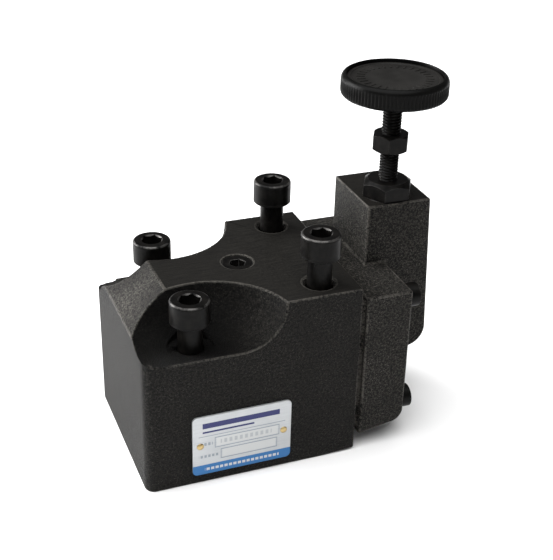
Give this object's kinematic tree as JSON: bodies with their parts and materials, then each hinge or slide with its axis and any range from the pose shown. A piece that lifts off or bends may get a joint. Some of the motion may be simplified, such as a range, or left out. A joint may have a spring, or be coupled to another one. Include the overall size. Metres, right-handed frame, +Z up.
{
  "type": "hydraulic control valve",
  "caption": "Subplate-mounted hydraulic control valve: block body with bolt pockets, and a pilot head set by a knurled knob, screw and lock nut.",
  "frame": {"origin": "centre of the four mounting bolts on the mounting face", "axes": "+X along the body towards the pilot head, +Y across the body to the back, +Z up from the mounting face towards the knob"},
  "size_m": [0.1389, 0.0774, 0.1515],
  "materials": {
    "body_cast": "rough cast, dark phosphate",
    "head_cast": "rough cast, dark phosphate",
    "black_steel": "black oxide",
    "bright_steel": "ground",
    "spring_steel": "drawn wire",
    "seal_rubber": "moulded",
    "knob_plastic": "satin black",
    "inlay_plastic": "satin dark grey",
    "plate_metal": "printed white with a blue band",
    "rivet_brass": "plain"
  },
  "bodies": {
    "housing": {"main_body": "body_cast", "main_seat": "bright_steel", "main_spring": "spring_steel", "gauge_plug": "black_steel", "pilot_body": "head_cast", "pilot_flange_bolts": "black_steel", "pilot_passage_plug": "black_steel", "joint_ring": "seal_rubber", "vent_joint_ring": "seal_rubber", "drain_joint_ring": "seal_rubber", "port_p_ring": "seal_rubber", "port_t_ring": "seal_rubber", "vent_port_ring": "seal_rubber", "pilot_seat": "bright_steel", "pilot_spring": "spring_steel", "gland_nut": "black_steel", "gland_ring": "seal_rubber", "nameplate": "plate_metal", "nameplate_rivets": "rivet_brass"},
    "main_poppet": {"main_poppet": "bright_steel"},
    "pilot_poppet": {"pilot_poppet": "bright_steel"},
    "plunger": {"spring_plunger": "bright_steel", "plunger_ring": "seal_rubber"},
    "adjuster": {"adjusting_screw": "black_steel", "knob": "knob_plastic", "knob_inlay": "inlay_plastic"},
    "lock_nut": {"lock_nut": "black_steel"},
    "bolt_front_left": {"bolt_front_left": "black_steel"},
    "bolt_back_left": {"bolt_back_left": "black_steel"},
    "bolt_front_right": {"bolt_front_right": "black_steel"},
    "bolt_back_right": {"bolt_back_right": "black_steel"}
  },
  "joints": [
    {"name": "plunger_slide", "type": "slide", "parent": "housing", "child": "plunger", "axis": [0, 0, -1], "range_m": [0, 0.00625], "deforming": ["pilot_spring"]},
    {"name": "knob_turn", "type": "hinge", "parent": "plunger", "child": "adjuster", "pos_m": [0.068, 0, 0.1425], "axis": [0, 0, -1], "range_deg": [0, 1800]},
    {"name": "lock_nut_slide", "type": "slide", "parent": "adjuster", "child": "lock_nut", "axis": [0, 0, 1], "range_m": [-0.0065, 0.0139]},
    {"name": "main_poppet_slide", "type": "slide", "parent": "housing", "child": "main_poppet", "axis": [1, 0, 0], "range_m": [0, 0.006], "stiffness_N_per_m": 1500, "springref_m": -0.01, "deforming": ["main_spring"]},
    {"name": "pilot_poppet_slide", "type": "slide", "parent": "housing", "child": "pilot_poppet", "axis": [0, 0, 1], "range_m": [0, 0.001], "stiffness_N_per_m": 3000, "springref_m": -0.002, "deforming": ["pilot_spring"]},
    {"name": "bolt_front_left_slide", "type": "slide", "parent": "housing", "child": "bolt_front_left", "axis": [0, 0, 1], "range_m": [-0.012, 0.055]},
    {"name": "bolt_back_left_slide", "type": "slide", "parent": "housing", "child": "bolt_back_left", "axis": [0, 0, 1], "range_m": [-0.012, 0.055]},
    {"name": "bolt_front_right_slide", "type": "slide", "parent": "housing", "child": "bolt_front_right", "axis": [0, 0, 1], "range_m": [-0.012, 0.075]},
    {"name": "bolt_back_right_slide", "type": "slide", "parent": "housing", "child": "bolt_back_right", "axis": [0, 0, 1], "range_m": [-0.012, 0.075]}
  ],
  "couplings": [
    {"joint": "knob_turn", "follows": "plunger_slide", "rad_per_m": 5026.5}
  ]
}
